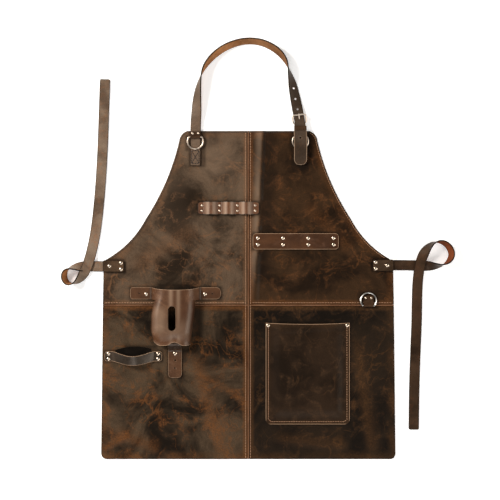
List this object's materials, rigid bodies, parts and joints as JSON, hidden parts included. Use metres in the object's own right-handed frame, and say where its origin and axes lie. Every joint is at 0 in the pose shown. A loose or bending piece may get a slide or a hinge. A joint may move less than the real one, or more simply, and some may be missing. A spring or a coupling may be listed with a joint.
{
  "type": "leather tool apron",
  "caption": "Leather work apron lying flat, with a buckled neck strap, waist ties, riveted tool loops, holster, pocket and rings.",
  "frame": {"origin": "middle of the apron without its free straps, on the surface it lies on", "axes": "+X to the wearer-side pocket, +Y towards the neck strap, +Z out of the grain side"},
  "size_m": [0.7999, 0.8566, 0.0335],
  "materials": {
    "leather_left": "waxed, worn, satin",
    "leather_right": "waxed, worn, satin",
    "welt_leather": "waxed piping",
    "seam_tape": "split leather",
    "strap_leather": "waxed, burnished edges",
    "fitting_leather": "waxed, semi-gloss",
    "nickel": "warm nickel plate",
    "rivet_nickel": "polished nickel plate"
  },
  "bodies": {
    "apron": {"bib_panel_left": "leather_left", "skirt_panel_left": "leather_left", "bib_panel_right": "leather_right", "skirt_panel_right": "leather_right", "centre_seam_welt": "welt_leather", "waist_seam_welt_left": "welt_leather", "waist_seam_welt_right": "welt_leather", "centre_seam_tape": "seam_tape", "waist_seam_tape_left": "seam_tape", "waist_seam_tape_right": "seam_tape", "neck_strap": "strap_leather", "waist_tie_left": "strap_leather", "waist_tie_right": "strap_leather", "buckle_chape": "strap_leather", "tie_tab_left": "strap_leather", "tie_tab_right": "strap_leather", "ring_holder_left": "strap_leather", "ring_holder_right": "strap_leather", "ring_holder_waist": "strap_leather", "upper_tool_loops": "fitting_leather", "lower_tool_loops": "fitting_leather", "towel_loop": "fitting_leather", "towel_loop_lining": "fitting_leather", "holster": "fitting_leather", "holster_tongue": "fitting_leather", "pocket_front": "fitting_leather", "tie_rivets_left": "rivet_nickel", "tie_rivets_right": "rivet_nickel", "ring_rivets_left": "rivet_nickel", "ring_rivets_right": "rivet_nickel", "ring_rivets_waist": "rivet_nickel", "upper_loop_rivets": "rivet_nickel", "lower_loop_rivets": "rivet_nickel", "towel_loop_rivets": "rivet_nickel", "holster_rivets": "rivet_nickel", "pocket_rivets": "rivet_nickel"},
    "shoulder_ring_left": {"shoulder_ring_left": "nickel"},
    "shoulder_ring_right": {"shoulder_ring_right": "nickel"},
    "waist_ring": {"waist_ring": "nickel"},
    "buckle_frame": {"buckle_frame": "nickel"},
    "buckle_prong": {"buckle_prong": "nickel"},
    "strap_keeper": {"strap_keeper": "strap_leather"}
  },
  "joints": [
    {"name": "left_ring_swing", "type": "hinge", "parent": "apron", "child": "shoulder_ring_left", "pos_m": [-0.108, 0.3044, 0.0079], "axis": [-1, 0, 0], "range_deg": [0, 165]},
    {"name": "right_ring_swing", "type": "hinge", "parent": "apron", "child": "shoulder_ring_right", "pos_m": [0.106, 0.3044, 0.0073], "axis": [-1, 0, 0], "range_deg": [0, 3]},
    {"name": "waist_ring_swing", "type": "hinge", "parent": "apron", "child": "waist_ring", "pos_m": [0.2446, -0.0386, 0.0064], "axis": [1, 0, 0], "range_deg": [0, 170]},
    {"name": "buckle_tilt", "type": "hinge", "parent": "apron", "child": "buckle_frame", "pos_m": [0.1049, 0.3325, 0.0063], "axis": [0.9925, 0.1219, 0], "range_deg": [0, 4]},
    {"name": "prong_lift", "type": "hinge", "parent": "buckle_frame", "child": "buckle_prong", "pos_m": [0.1049, 0.3325, 0.0063], "axis": [0.9925, 0.1219, 0], "range_deg": [0, 4]},
    {"name": "keeper_slide", "type": "slide", "parent": "apron", "child": "strap_keeper", "axis": [0, 1, 0], "range_m": [-0.001, 0.0008]}
  ]
}
